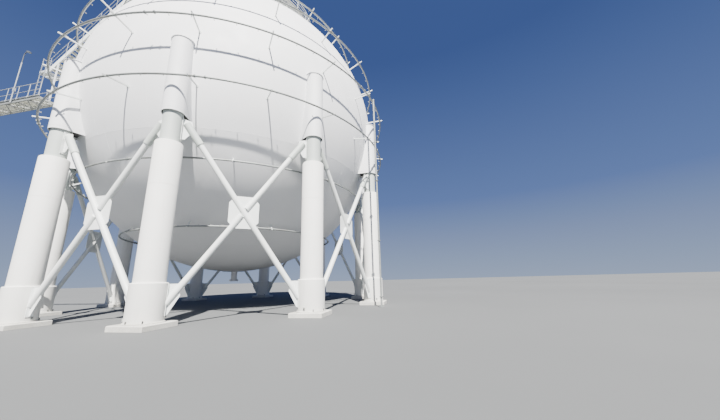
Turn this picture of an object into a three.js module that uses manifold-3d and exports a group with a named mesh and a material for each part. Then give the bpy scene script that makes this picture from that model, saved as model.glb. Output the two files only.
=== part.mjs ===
// Spherical pressure gas tank on ten clad columns, with X bracing, water spray rings,
// a round top platform and the walkway and stair that reach it.
// Units are millimetres, +Z is up. Z = 0 is the underside of the column plinths. The
// sphere stands AXIS_X along +X from the origin, which lies below the middle of the whole
// object, walkway included. Everything is drawn about the sphere's own vertical axis, with
// column 01 on its +X side, and each piece is moved by AXIS_X when it is added.
import * as THREE from 'three';
import { mergeVertices } from 'three/addons/utils/BufferGeometryUtils.js';
import Module from 'manifold-3d';

const wasm = await Module();
wasm.setup();

// Driving dimensions
const GAP = 0.3;
const AXIS_X = 3998;
const SPHERE_R = 11250;
const CENTRE_Z = 13850;
const WALL = 45;
const SHELL_SEGMENTS = 48;
const ARC_STEP = 7.5;
const COLUMN_COUNT = 10;
const COLUMN_PITCH = 36;
const COLUMN_RADIUS = 11250;
const COLUMN_SIDES = 16;
const PLINTH_SIDE = 1700;
const PLINTH_H = 220;
const BASE_R = 690;
const BASE_TOP = 1800;
const CLAD_R = 600;
const CLAD_TOP = 8180;
const NECK_R = 460;
const HEAD_R = 530;
const HEAD_BOTTOM = 9670;
const HEAD_SPRING = 13320;
const BRACE_TUBE_R = 137;
const BRACE_CROSS_Z = 5090;
const BRACE_SLOPE = 1.477;
const GUSSET_T = 25;
const RING_SEGMENTS = 32;
const RING_PIPE_R = 48;
const RING_BARS = 5;
const RING_BAR_PITCH = 72;
const RISER_ANGLE = 349.5;
const RISER_RADIUS = 12330;
const DECK_Z = 25350;
const DECK_R = 5900;
const DECK_HOLE_R = 1800;
const RAIL_H = 1100;
const WALK_Z = 14500;
const WALK_Y0 = -8600;
const WALK_Y1 = -7600;
const WALK_X0 = -20400;
const WALK_X1 = -10050;
const LANDING_Z = 17600;
const LANDING_X0 = -12440;
const LANDING_X1 = -11740;
const LANDING_Y0 = -7660;
const LANDING_Y1 = -6700;
const STAIR_NEAR_Y = -7560;
const STAIR_FAR_Y = -6760;
const STAIR_RISERS = 32;
const STRINGER_H = 360;
const TOP_LANDING_Z = 24360;
const TOP_LANDING_X0 = -3680;
const TOP_LANDING_X1 = -2400;
const STEPS_X0 = -3580;
const STEPS_X1 = -2680;
const STEP_RISERS = 5;
const STEP_GOING = 280;

const RAD = Math.PI / 180;

// Colours used on the parts
const WHITE = { color: 0xe9ebea, roughness: 0.45, metalness: 0.05 };
const CLADDING = { color: 0xdfe0dc, roughness: 0.7, metalness: 0.0 };
const GALVANISED = { color: 0x8b9190, roughness: 0.5, metalness: 0.75 };
const PIPE_GREY = { color: 0x59605d, roughness: 0.55, metalness: 0.6 };
const OFF_WHITE = { color: 0xd7dad8, roughness: 0.5, metalness: 0.2 };

// Solid from a three.js geometry, degenerate triangles dropped and faces turned outward
function solid(geometry) {
  const bare = geometry.index ? geometry.toNonIndexed() : geometry.clone();
  bare.deleteAttribute('normal');
  bare.deleteAttribute('uv');
  const merged = mergeVertices(bare, 1e-3);
  const pos = merged.attributes.position.array;
  const idx = merged.index.array;
  const tris = [];
  let volume = 0;
  for (let i = 0; i < idx.length; i += 3) {
    const a = idx[i];
    const b = idx[i + 1];
    const c = idx[i + 2];
    if (a === b || b === c || a === c) continue;
    tris.push(a, b, c);
    const ax = pos[3 * a], ay = pos[3 * a + 1], az = pos[3 * a + 2];
    const bx = pos[3 * b], by = pos[3 * b + 1], bz = pos[3 * b + 2];
    const cx = pos[3 * c], cy = pos[3 * c + 1], cz = pos[3 * c + 2];
    volume += ax * (by * cz - bz * cy) - ay * (bx * cz - bz * cx) + az * (bx * cy - by * cx);
  }
  if (volume < 0) {
    for (let i = 0; i < tris.length; i += 3) {
      const keep = tris[i + 1];
      tris[i + 1] = tris[i + 2];
      tris[i + 2] = keep;
    }
  }
  return new wasm.Manifold(new wasm.Mesh({
    numProp: 3,
    vertProperties: new Float32Array(pos),
    triVerts: new Uint32Array(tris),
  }));
}

function box(x0, x1, y0, y1, z0, z1) {
  const g = new THREE.BoxGeometry(x1 - x0, y1 - y0, z1 - z0);
  g.translate((x0 + x1) / 2, (y0 + y1) / 2, (z0 + z1) / 2);
  return solid(g);
}

// Solid of revolution about Z from [radius, height] points; the profile closes itself
function revolve(points, segments) {
  const closed = points.map(([r, z]) => new THREE.Vector2(r, z));
  if (points[0][0] > 1e-6 || points[points.length - 1][0] > 1e-6) closed.push(closed[0].clone());
  const g = new THREE.LatheGeometry(closed, segments);
  g.rotateX(Math.PI / 2);
  return solid(g);
}

function cylinder(r, z0, z1, segments, x = 0, y = 0) {
  const g = new THREE.CylinderGeometry(r, r, z1 - z0, segments);
  g.rotateX(Math.PI / 2);
  g.translate(x, y, (z0 + z1) / 2);
  return solid(g);
}

// Straight bar between two points: round when sides is given, else rectangular w by h
function bar(from, to, w, h = w, sides = 0) {
  const a = new THREE.Vector3(...from);
  const b = new THREE.Vector3(...to);
  const dir = b.clone().sub(a);
  const length = dir.length();
  let g;
  if (sides) {
    g = new THREE.CylinderGeometry(w / 2, w / 2, length, sides);
    g.rotateX(Math.PI / 2);
  } else {
    g = new THREE.BoxGeometry(w, h, length);
  }
  dir.normalize();
  const up = Math.abs(dir.z) > 0.999 ? new THREE.Vector3(0, 1, 0) : new THREE.Vector3(0, 0, 1);
  const side = new THREE.Vector3().crossVectors(up, dir).normalize();
  const top = new THREE.Vector3().crossVectors(dir, side).normalize();
  g.applyMatrix4(new THREE.Matrix4().makeBasis(side, top, dir));
  g.translate((a.x + b.x) / 2, (a.y + b.y) / 2, (a.z + b.z) / 2);
  return solid(g);
}

// Flat plate cut to an outline given in a vertical plane, extruded both ways from the plane
function plate(outline, thickness, matrix) {
  const shape = new THREE.Shape(outline.map(([s, z]) => new THREE.Vector2(s, z)));
  const g = new THREE.ExtrudeGeometry(shape, { depth: thickness, bevelEnabled: false, steps: 1 });
  g.translate(0, 0, -thickness / 2);
  g.rotateX(Math.PI / 2);
  g.applyMatrix4(matrix);
  return solid(g);
}

function union(list) {
  return list.reduce((sum, item) => sum.add(item));
}

function polar(radius, angle, z) {
  return [radius * Math.cos(angle * RAD), radius * Math.sin(angle * RAD), z];
}

const root = new THREE.Group();
root.name = 'spherical_gas_tank';

function addNode(name, manifold, look) {
  const mesh = manifold.translate([AXIS_X, 0, 0]).getMesh();
  const g = new THREE.BufferGeometry();
  const stride = mesh.numProp;
  const count = mesh.vertProperties.length / stride;
  const pos = new Float32Array(count * 3);
  for (let i = 0; i < count; i += 1) {
    pos[3 * i] = mesh.vertProperties[stride * i];
    pos[3 * i + 1] = mesh.vertProperties[stride * i + 1];
    pos[3 * i + 2] = mesh.vertProperties[stride * i + 2];
  }
  g.setAttribute('position', new THREE.BufferAttribute(pos, 3));
  g.setIndex(new THREE.BufferAttribute(new Uint32Array(mesh.triVerts), 1));
  g.computeVertexNormals();
  const item = new THREE.Mesh(g, new THREE.MeshStandardMaterial(look));
  item.name = name;
  root.add(item);
}

// Sphere shell, five zones of plate; seams are cut along cones through the centre
function arc(radius, from, to, steps) {
  const points = [];
  for (let i = 0; i <= steps; i += 1) {
    const a = (from + ((to - from) * i) / steps) * RAD;
    points.push([Math.max(0, radius * Math.cos(a)), CENTRE_Z + radius * Math.sin(a)]);
  }
  return points;
}

const SEAM = (GAP / 2 / SPHERE_R) / RAD;

function shellZone(low, high) {
  const from = low > -90 ? low + SEAM : low;
  const to = high < 90 ? high - SEAM : high;
  const steps = Math.round((high - low) / ARC_STEP);
  const outer = arc(SPHERE_R, from, to, steps);
  const inner = arc(SPHERE_R - WALL, to, from, steps);
  return revolve([...outer, ...inner], SHELL_SEGMENTS);
}

addNode('shell_bottom_cap', shellZone(-90, -60), WHITE);
addNode('shell_lower_zone', shellZone(-60, -22.5), WHITE);
addNode('shell_equator_zone', shellZone(-22.5, 22.5), WHITE);
addNode('shell_upper_zone', shellZone(22.5, 60), WHITE);
addNode('shell_top_cap', shellZone(60, 90), WHITE);

// Faceted ball a hair larger than the shell, used to trim everything that lands on it
const ballClear = revolve(arc(SPHERE_R + GAP, -90, 90, 180 / ARC_STEP), SHELL_SEGMENTS);

// Columns: plinth, base, cladding, bare neck and the head that is welded to the equator
function legProfile(extra) {
  return [
    [0, PLINTH_H - 20], [BASE_R + extra, PLINTH_H - 20], [BASE_R + extra, BASE_TOP + extra],
    [CLAD_R + extra, BASE_TOP + extra], [CLAD_R + extra, CLAD_TOP + extra],
    [NECK_R + extra, CLAD_TOP + extra], [NECK_R + extra, HEAD_BOTTOM + 100], [0, HEAD_BOTTOM + 100],
  ];
}

const legShape = revolve(legProfile(0), COLUMN_SIDES);
const legClear = revolve(legProfile(GAP), COLUMN_SIDES);
const headShape = union([
  revolve([
    [0, HEAD_BOTTOM], [HEAD_R, HEAD_BOTTOM], [HEAD_R, HEAD_SPRING],
    [HEAD_R * Math.cos(30 * RAD), HEAD_SPRING + HEAD_R * Math.sin(30 * RAD)],
    [HEAD_R * Math.cos(60 * RAD), HEAD_SPRING + HEAD_R * Math.sin(60 * RAD)],
    [0, HEAD_SPRING + HEAD_R],
  ], COLUMN_SIDES),
  box(-1500, 0, -HEAD_R, HEAD_R, HEAD_BOTTOM, HEAD_SPRING - 100),
]);

for (let k = 0; k < COLUMN_COUNT; k += 1) {
  const angle = k * COLUMN_PITCH;
  const [x, y] = polar(COLUMN_RADIUS, angle, 0);
  const half = PLINTH_SIDE / 2;
  const body = legShape.add(headShape).rotate([0, 0, angle]).translate([x, y, 0]);
  const plinth = box(x - half, x + half, y - half, y + half, 0, PLINTH_H);
  const label = String(k + 1).padStart(2, '0');
  addNode(`column_${label}`, body.add(plinth).subtract(ballClear), CLADDING);
}

// X bracing, one node for each bay, in the vertical plane through two columns
const BAY_HALF = COLUMN_RADIUS * Math.sin((COLUMN_PITCH / 2) * RAD);
const BAY_RADIUS = COLUMN_RADIUS * Math.cos((COLUMN_PITCH / 2) * RAD);

function diagonalZ(s) {
  return BRACE_CROSS_Z - BRACE_SLOPE * s;
}

function braceShape() {
  const flat = new THREE.Matrix4();
  const d = BRACE_TUBE_R * 2;
  const top = -BAY_HALF + 640;
  const low = BAY_HALF - 660;
  const nearCross = 430;
  const pieces = [
    bar([top, 0, diagonalZ(top)], [low, 0, diagonalZ(low)], d, d, 8),
    bar([-top, 0, diagonalZ(top)], [nearCross, 0, diagonalZ(-nearCross)], d, d, 8),
    bar([-nearCross, 0, diagonalZ(nearCross)], [-low, 0, diagonalZ(low)], d, d, 8),
    plate([[-400, 4280], [400, 4280], [700, 4600], [700, 5560], [420, 5900],
      [-420, 5900], [-700, 5560], [-700, 4600]], GUSSET_T, flat),
  ];
  for (const side of [-1, 1]) {
    pieces.push(plate([
      [side * (BAY_HALF - NECK_R + 60), 8450], [side * (BAY_HALF - NECK_R + 60), 9600],
      [side * (BAY_HALF - 820), 9480], [side * (BAY_HALF - 980), 9000],
      [side * (BAY_HALF - 640), 8450],
    ], GUSSET_T, flat));
    pieces.push(plate([
      [side * (BAY_HALF - BASE_R + 60), 480], [side * (BAY_HALF - BASE_R + 60), 1740],
      [side * (BAY_HALF - 1060), 1740], [side * (BAY_HALF - 1160), 1240],
      [side * (BAY_HALF - 760), 480],
    ], GUSSET_T, flat));
  }
  return union(pieces);
}

const brace = braceShape();

for (let k = 0; k < COLUMN_COUNT; k += 1) {
  const mid = (k + 0.5) * COLUMN_PITCH;
  const [x, y] = polar(BAY_RADIUS, mid, 0);
  let body = brace.rotate([0, 0, mid + 90]).translate([x, y, 0]);
  for (const end of [k, k + 1]) {
    const angle = end * COLUMN_PITCH;
    const [cx, cy] = polar(COLUMN_RADIUS, angle, 0);
    body = body.subtract(legClear.rotate([0, 0, angle]).translate([cx, cy, 0]));
  }
  const from = String(k + 1).padStart(2, '0');
  const to = String(((k + 1) % COLUMN_COUNT) + 1).padStart(2, '0');
  addNode(`brace_${from}_${to}`, body, WHITE);
}

// Water spray rings on radial stand-off bars: latitude, ring radius from the centre,
// first bar angle and how far the bars run past the ring
const RINGS = [
  ['spray_ring_1', -50, 11650, -4, 80],
  ['spray_ring_2', -30, 11800, 14, 100],
  ['spray_ring_3', -11.75, 12350, 4, 210],
  ['spray_ring_4', 4.2, 12240, 3.5, 220],
  ['spray_ring_5', 20, 12150, 5.5, 260],
  ['spray_ring_6', 37.5, 11970, 5.5, 260],
];

function ringPipe(latitude, radius, pipe) {
  const r0 = radius * Math.cos(latitude * RAD);
  const z0 = CENTRE_Z + radius * Math.sin(latitude * RAD);
  const points = [];
  for (let i = 0; i < 4; i += 1) {
    const a = i * 90 * RAD;
    points.push([r0 + pipe * Math.cos(a), z0 + pipe * Math.sin(a)]);
  }
  return revolve(points, RING_SEGMENTS);
}

for (const [name, latitude, radius, first, past] of RINGS) {
  const bars = [];
  for (let k = 0; k < RING_BARS; k += 1) {
    const angle = first + k * RING_BAR_PITCH;
    const c = Math.cos(latitude * RAD);
    const s = Math.sin(latitude * RAD);
    const r0 = SPHERE_R - 60;
    const r1 = radius + past;
    bars.push(bar(polar(r0 * c, angle, CENTRE_Z + r0 * s), polar(r1 * c, angle, CENTRE_Z + r1 * s), 70));
  }
  addNode(name, union([ringPipe(latitude, radius, RING_PIPE_R), ...bars]).subtract(ballClear), PIPE_GREY);
}

// Riser beside column 01 that feeds the two middle rings, standing just outside them
const ringClear3 = ringPipe(-11.75, 12350, RING_PIPE_R + GAP);
const ringClear4 = ringPipe(4.2, 12240, RING_PIPE_R + GAP);
const [riserX, riserY] = polar(RISER_RADIUS, RISER_ANGLE, 0);
const z3 = CENTRE_Z + 12350 * Math.sin(-11.75 * RAD);
const z4 = CENTRE_Z + 12240 * Math.sin(4.2 * RAD);
addNode('spray_riser', union([
  cylinder(60, 30, z4 + 60, 10, riserX, riserY),
  cylinder(160, 0, 40, 16, riserX, riserY),
  cylinder(120, 600, 640, 16, riserX, riserY),
  bar([riserX, riserY, z4], polar(12192, RISER_ANGLE, z4), 56, 56, 8),
  bar([riserX, riserY, z3], polar(12077, RISER_ANGLE, z3), 56, 56, 8),
]).subtract(ringClear3).subtract(ringClear4), PIPE_GREY);

// Top platform: round deck on legs, its railing, and the nozzles in the middle
const deckLegs = [];
for (let k = 0; k < 10; k += 1) {
  const [x, y] = polar(5400, 9 + k * 36, 0);
  deckLegs.push(box(x - 50, x + 50, y - 50, y + 50, 22800, DECK_Z - 60));
}
for (let k = 0; k < 5; k += 1) {
  const [x, y] = polar(2100, 18 + k * 72, 0);
  deckLegs.push(box(x - 50, x + 50, y - 50, y + 50, 24200, DECK_Z - 60));
}
addNode('platform_deck', union([
  revolve([
    [DECK_HOLE_R, DECK_Z - 150], [DECK_R, DECK_Z - 150], [DECK_R, DECK_Z], [DECK_HOLE_R, DECK_Z],
  ], RING_SEGMENTS),
  ...deckLegs,
]).subtract(ballClear), GALVANISED);

function railRing(radius, z, half) {
  return revolve([[radius - half, z - half], [radius + half, z - half], [radius + half, z + half],
    [radius - half, z + half]], 24);
}

const RAIL_R = DECK_R - 60;
const railPosts = [];
for (let k = 0; k < 12; k += 1) {
  const [x, y] = polar(RAIL_R, 15 + k * 30, 0);
  railPosts.push(box(x - 22, x + 22, y - 22, y + 22, DECK_Z + GAP, DECK_Z + RAIL_H - 10));
}
const RAIL_GATE = box(STEPS_X0, STEPS_X1, -6500, -4000, DECK_Z - 10, DECK_Z + RAIL_H + 100);
const gatePosts = [STEPS_X0 - 20, STEPS_X1 + 20].map((x) => {
  const y = -Math.sqrt(RAIL_R * RAIL_R - x * x);
  return box(x - 30, x + 30, y - 30, y + 30, DECK_Z + GAP, DECK_Z + RAIL_H);
});
addNode('platform_railing', union([
  railRing(RAIL_R, DECK_Z + RAIL_H - 22, 22),
  railRing(RAIL_R, DECK_Z + RAIL_H / 2, 20),
  ...railPosts,
]).subtract(RAIL_GATE).add(union(gatePosts)), OFF_WHITE);

addNode('top_nozzles', union([
  cylinder(1250, CENTRE_Z + 11050, CENTRE_Z + 11290, 16),
  cylinder(330, CENTRE_Z + 11200, CENTRE_Z + 11900, 16),
  cylinder(470, CENTRE_Z + 11780, CENTRE_Z + 11900, 16),
  ...[90, 210, 330].flatMap((angle) => {
    const [x, y] = polar(850, angle, 0);
    return [
      cylinder(110, CENTRE_Z + 11200, CENTRE_Z + 12900, 8, x, y),
      cylinder(190, CENTRE_Z + 11700, CENTRE_Z + 11780, 8, x, y),
      cylinder(160, CENTRE_Z + 11780, CENTRE_Z + 12250, 8, x, y),
    ];
  }),
]).subtract(ballClear), WHITE);

addNode('bottom_nozzles', union([
  cylinder(900, CENTRE_Z - 11400, CENTRE_Z - 11150, 16),
  cylinder(230, CENTRE_Z - 12000, CENTRE_Z - 11200, 16),
  cylinder(340, CENTRE_Z - 12000, CENTRE_Z - 11920, 16),
]).subtract(ballClear), WHITE);

// Access walkway along X at the front left, carried by a trestle at its outer end
const walkParts = [
  box(WALK_X0, WALK_X1, WALK_Y0, WALK_Y1, WALK_Z - 60, WALK_Z),
  box(WALK_X0, WALK_X1, WALK_Y0, WALK_Y0 + 60, WALK_Z - 200, WALK_Z + 100),
  box(WALK_X0, WALK_X1, WALK_Y1 - 60, WALK_Y1, WALK_Z - 200, WALK_Z + 100),
];
for (let i = 0; i <= 6; i += 1) {
  const x = WALK_X0 + 40 + ((WALK_X1 - WALK_X0 - 80) * i) / 6;
  walkParts.push(box(x - 40, x + 40, WALK_Y0 + 30, WALK_Y1 - 30, WALK_Z - 180, WALK_Z - 30));
}
walkParts.push(bar([WALK_X1 - 40, WALK_Y1 - 30, WALK_Z - 120], [-7300, -6300, WALK_Z - 120], 120));

// Lug on the far edge beam that the post below the stair stands on
const STAIR_POST_X = -10890;
const STAIR_POST_Y = WALK_Y1 + 45;
walkParts.push(box(STAIR_POST_X - 100, STAIR_POST_X + 100, WALK_Y1 - 10, WALK_Y1 + 120, WALK_Z - 60, WALK_Z));
addNode('walkway_deck', union(walkParts).subtract(ballClear), GALVANISED);

function walkRail(y) {
  const list = [
    box(WALK_X0 + 30, WALK_X1 - 30, y - 22, y + 22, WALK_Z + RAIL_H - 44, WALK_Z + RAIL_H),
    box(WALK_X0 + 30, WALK_X1 - 30, y - 18, y + 18, WALK_Z + 560, WALK_Z + 596),
  ];
  for (let i = 0; i <= 6; i += 1) {
    const x = WALK_X0 + 60 + ((WALK_X1 - WALK_X0 - 120) * i) / 6;
    list.push(box(x - 25, x + 25, y - 25, y + 25, WALK_Z + 100 + GAP, WALK_Z + RAIL_H - 10));
  }
  return union(list);
}
addNode('walkway_railing_near', walkRail(WALK_Y0 + 30), OFF_WHITE);
addNode('walkway_railing_far', walkRail(WALK_Y1 - 30), OFF_WHITE);

const trestleX = -19000;
const walkMidY = (WALK_Y0 + WALK_Y1) / 2;
addNode('walkway_trestle', union([
  box(trestleX - 500, trestleX + 500, walkMidY - 500, walkMidY + 500, 0, 200),
  cylinder(190, 150, WALK_Z - 440, 16, trestleX, walkMidY),
  box(trestleX - 100, trestleX + 100, WALK_Y0 - 100, WALK_Y1 + 100, WALK_Z - 450, WALK_Z - 200 - GAP),
]), OFF_WHITE);

// Small landing at the stair foot, just beyond the walkway's far edge: two level beams tie
// it to the shell, rails close its outer side and far end, and its near end is left open
const landingParts = [
  box(LANDING_X0, LANDING_X1, LANDING_Y0, LANDING_Y1, LANDING_Z - 80, LANDING_Z),
];
for (const x of [LANDING_X0 + 60, LANDING_X1 - 60]) {
  const y = STAIR_NEAR_Y + 260;
  const inner = 10550 / Math.hypot(x, y);
  landingParts.push(box(x - 50, x + 50, LANDING_Y0, LANDING_Y1, LANDING_Z - 240, LANDING_Z - 60));
  landingParts.push(bar([x, y, LANDING_Z - 200], [x * inner, y * inner, LANDING_Z - 200], 110));
  for (const end of [LANDING_Y0 + 22, LANDING_Y1 - 22]) {
    landingParts.push(box(x - 20, x + 20, end - 20, end + 20, LANDING_Z - 10, LANDING_Z + RAIL_H - 10));
  }
}
for (const z of [LANDING_Z + RAIL_H - 38, LANDING_Z + 520]) {
  landingParts.push(box(LANDING_X0 + 42, LANDING_X1 - 42, LANDING_Y1 - 40, LANDING_Y1 - 4, z, z + 38));
  landingParts.push(box(LANDING_X0 + 42, LANDING_X0 + 78, LANDING_Y0 + 22, LANDING_Y1 - 22, z, z + 38));
}
addNode('stair_landing', union(landingParts).subtract(ballClear), OFF_WHITE);

// Ladder from the walkway deck to the open end of the landing
const ladderY = LANDING_Y0 - GAP - 30;
const ladderX0 = -12290;
const ladderX1 = -11850;
const ladderParts = [ladderX0, ladderX1].map((x) => (
  box(x - 22, x + 22, ladderY - 30, ladderY + 30, WALK_Z + GAP, LANDING_Z + RAIL_H)));
for (let z = WALK_Z + 300; z < LANDING_Z + 100; z += 300) {
  ladderParts.push(box(ladderX0 + 10, ladderX1 - 10, ladderY - 12, ladderY + 12, z - 12, z + 12));
}
addNode('access_ladder', union(ladderParts), OFF_WHITE);

// Stair over the shoulder of the sphere: two deep plate stringers, treads, struts to the
// shell and a post that stands on the walkway
const stairX0 = LANDING_X1 + GAP;
const stairX1 = TOP_LANDING_X0 - GAP;
const stairRun = stairX1 - stairX0;
const stairRise = TOP_LANDING_Z - LANDING_Z;
const going = stairRun / STAIR_RISERS;

function stairLine(x) {
  return LANDING_Z + ((x - stairX0) * stairRise) / stairRun;
}

const stairEnds = box(stairX0, stairX1, -9000, -6000, LANDING_Z - 400, TOP_LANDING_Z + 400);
const stringers = [STAIR_NEAR_Y, STAIR_FAR_Y].map((y) => (
  bar([stairX0 - 300, y, stairLine(stairX0 - 300) - 20], [stairX1 + 300, y, stairLine(stairX1 + 300) - 20],
    40, STRINGER_H)));
let flight = union(stringers).intersect(stairEnds);
const treads = [];
for (let i = 1; i < STAIR_RISERS; i += 1) {
  const x = stairX0 + going * (i - 0.5);
  const z = LANDING_Z + (stairRise * i) / STAIR_RISERS;
  treads.push(box(x - going / 2, x + going / 2 + 25, STAIR_NEAR_Y, STAIR_FAR_Y, z - 40, z));
}
flight = flight.add(union(treads));
const stairStruts = [-9650, -5750].map((x) => {
  const z = stairLine(x) - 120;
  const foot = new THREE.Vector3(x, STAIR_FAR_Y, z - CENTRE_Z);
  foot.setLength(SPHERE_R - 80);
  return bar([x, STAIR_FAR_Y, z], [foot.x, foot.y, foot.z + CENTRE_Z], 100);
});
const stairPost = box(STAIR_POST_X - 40, STAIR_POST_X + 40, STAIR_POST_Y - 40, STAIR_POST_Y + 40,
  WALK_Z + GAP, stairLine(STAIR_POST_X) - 100);
addNode('stair_flight', flight.add(union([...stairStruts, stairPost])).subtract(ballClear), WHITE);

// Stair railings, side-mounted on the stringers
function stairRail(y, outward) {
  const yPost = y + outward * (20 + GAP + 20);
  const list = [];
  for (const up of [1000, 520]) {
    list.push(bar([stairX0 + 60, yPost, stairLine(stairX0 + 60) + up],
      [stairX1 - 60, yPost, stairLine(stairX1 - 60) + up], 38, 38));
  }
  for (let i = 0; i < 7; i += 1) {
    const x = stairX0 + 90 + ((stairRun - 180) * i) / 6;
    list.push(box(x - 20, x + 20, yPost - 20, yPost + 20, stairLine(x) - 120, stairLine(x) + 990));
  }
  return union(list);
}
addNode('stair_railing_near', stairRail(STAIR_NEAR_Y, -1), WHITE);
addNode('stair_railing_far', stairRail(STAIR_FAR_Y, 1), WHITE);

// Landing at the head of the stair, on four posts that stand on the shell
const topY0 = STAIR_NEAR_Y - 60;
const topY1 = STAIR_FAR_Y + 60;
const topRails = [TOP_LANDING_Z + 1040, TOP_LANDING_Z + 520];
const topParts = [
  box(TOP_LANDING_X0, TOP_LANDING_X1, topY0, topY1, TOP_LANDING_Z - 120, TOP_LANDING_Z),
];
for (const z of topRails) {
  topParts.push(box(TOP_LANDING_X0 + 30, TOP_LANDING_X1, topY0 + 30, topY0 + 70, z, z + 40));
  topParts.push(box(TOP_LANDING_X1 - 40, TOP_LANDING_X1, topY0 + 30, topY1 - 60, z, z + 40));
}
for (const [x, y] of [[TOP_LANDING_X0 + 52, topY0 + 52], [TOP_LANDING_X1 - 22, topY0 + 52],
  [TOP_LANDING_X1 - 22, topY1 - 82]]) {
  topParts.push(box(x - 22, x + 22, y - 22, y + 22, TOP_LANDING_Z - 10, TOP_LANDING_Z + 1070));
}
for (const x of [TOP_LANDING_X0 + 100, TOP_LANDING_X1 - 100]) {
  for (const y of [STAIR_NEAR_Y, STAIR_FAR_Y]) {
    topParts.push(box(x - 50, x + 50, y - 50, y + 50, 20500, TOP_LANDING_Z - 60));
  }
}
addNode('stair_head_landing', union(topParts).subtract(ballClear), OFF_WHITE);

// Short flight from that landing up to the round deck; its last step is a plate at deck
// level that fits the deck's round edge
const stepY0 = topY1 + GAP;
const stepRise = DECK_Z - TOP_LANDING_Z;
const stepRun = STEP_RISERS * STEP_GOING;
const stepLine = (y) => TOP_LANDING_Z + ((y - stepY0) * stepRise) / stepRun;
const stepSides = [STEPS_X0, STEPS_X1];
const stepParts = stepSides.map((x) => (
  bar([x, stepY0 - 200, stepLine(stepY0 - 200) - 50],
    [x, stepY0 + stepRun + 800, stepLine(stepY0 + stepRun + 800) - 50], 40, 220)));
const stepEnds = box(STEPS_X0 - 200, STEPS_X1 + 200, stepY0, stepY0 + stepRun + 1000, TOP_LANDING_Z - 300,
  DECK_Z - 10);
let steps = union(stepParts).intersect(stepEnds);
for (let i = 1; i < STEP_RISERS; i += 1) {
  const y = stepY0 + STEP_GOING * (i - 0.5);
  const z = TOP_LANDING_Z + (stepRise * i) / STEP_RISERS;
  steps = steps.add(box(STEPS_X0, STEPS_X1, y - STEP_GOING / 2, y + STEP_GOING / 2 + 25, z - 40, z));
}
const lastStepY = stepY0 + (STEP_RISERS - 1) * STEP_GOING;
steps = steps.add(box(STEPS_X0, STEPS_X1, lastStepY, lastStepY + 1400, DECK_Z - 60, DECK_Z));
steps = steps.add(box(STEPS_X0 - 20, STEPS_X0 + 20, lastStepY + 100, lastStepY + 1400, DECK_Z - 200, DECK_Z));
for (const x of stepSides) {
  for (const y of [stepY0 + 60, lastStepY - 60]) {
    steps = steps.add(box(x - 20, x + 20, y - 20, y + 20, stepLine(y) - 60, stepLine(y) + 1000));
  }
  for (const up of [980, 520]) {
    steps = steps.add(bar([x, stepY0 + 40, stepLine(stepY0 + 40) + up],
      [x, lastStepY - 40, stepLine(lastStepY - 40) + up], 38, 38));
  }
}
const deckClear = revolve([
  [0, DECK_Z - 500], [DECK_R + GAP, DECK_Z - 500], [DECK_R + GAP, DECK_Z + 500], [0, DECK_Z + 500],
], RING_SEGMENTS);
addNode('platform_steps', steps.subtract(deckClear), OFF_WHITE);

// Lamp posts
function lampPost(x, y, z0, z1, reachX, reachY) {
  const reach = Math.hypot(reachX, reachY);
  const tipX = x + reachX;
  const tipY = y + reachY;
  return union([
    cylinder(40, z0, z1, 8, x, y),
    bar([x - (reachX / reach) * 30, y - (reachY / reach) * 30, z1 - 60], [tipX, tipY, z1 - 60], 60),
    box(tipX - 130, tipX + 130, tipY - 130, tipY + 130, z1 - 200, z1 - 40),
  ]);
}
addNode('walkway_lamp', lampPost(-12500, WALK_Y0 - 40 - GAP, WALK_Z - 180, 18500, 420, 0), OFF_WHITE);
const [lampX1, lampY1] = polar(5600, 297, 0);
const [lampX2, lampY2] = polar(5600, 117, 0);
addNode('platform_lamp_front', lampPost(lampX1, lampY1, DECK_Z + GAP, DECK_Z + 2600, -420, 0), OFF_WHITE);
addNode('platform_lamp_back', lampPost(lampX2, lampY2, DECK_Z + GAP, DECK_Z + 2600, 420, 0), OFF_WHITE);

export default root;
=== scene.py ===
"""Looks of a spherical pressure gas tank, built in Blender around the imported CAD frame.

Everything is in metres and drawn about the sphere's own vertical axis, as the frame is,
and each piece is moved by AXIS_X when its mesh is made.
"""

import math

import bmesh
import bpy
from mathutils import Matrix, Vector


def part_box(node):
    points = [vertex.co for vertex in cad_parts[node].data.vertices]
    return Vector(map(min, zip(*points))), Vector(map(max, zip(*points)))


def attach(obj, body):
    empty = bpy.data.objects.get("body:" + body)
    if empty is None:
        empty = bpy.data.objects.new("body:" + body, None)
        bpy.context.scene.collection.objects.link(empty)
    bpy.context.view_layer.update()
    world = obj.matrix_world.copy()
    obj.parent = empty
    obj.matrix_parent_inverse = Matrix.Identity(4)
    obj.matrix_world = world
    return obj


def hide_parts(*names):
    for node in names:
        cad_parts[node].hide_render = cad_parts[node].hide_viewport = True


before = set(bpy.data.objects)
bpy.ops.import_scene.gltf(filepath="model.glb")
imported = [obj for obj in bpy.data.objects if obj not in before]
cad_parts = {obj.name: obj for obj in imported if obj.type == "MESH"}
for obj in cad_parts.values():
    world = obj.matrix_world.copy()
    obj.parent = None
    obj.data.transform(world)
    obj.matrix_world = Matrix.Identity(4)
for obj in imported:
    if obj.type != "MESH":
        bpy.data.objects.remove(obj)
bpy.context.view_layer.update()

# Sizes read from the frame
zone_low, zone_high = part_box("shell_equator_zone")
AXIS_X = (zone_low.x + zone_high.x) / 2
SPHERE_R = (zone_high.x - zone_low.x) / 2
CENTRE_Z = (zone_low.z + zone_high.z) / 2
DECK_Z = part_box("platform_deck")[1].z
DECK_R = (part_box("platform_deck")[1].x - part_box("platform_deck")[0].x) / 2
WALK_X0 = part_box("walkway_deck")[0].x - AXIS_X
WALK_Y0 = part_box("walkway_deck")[0].y

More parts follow.
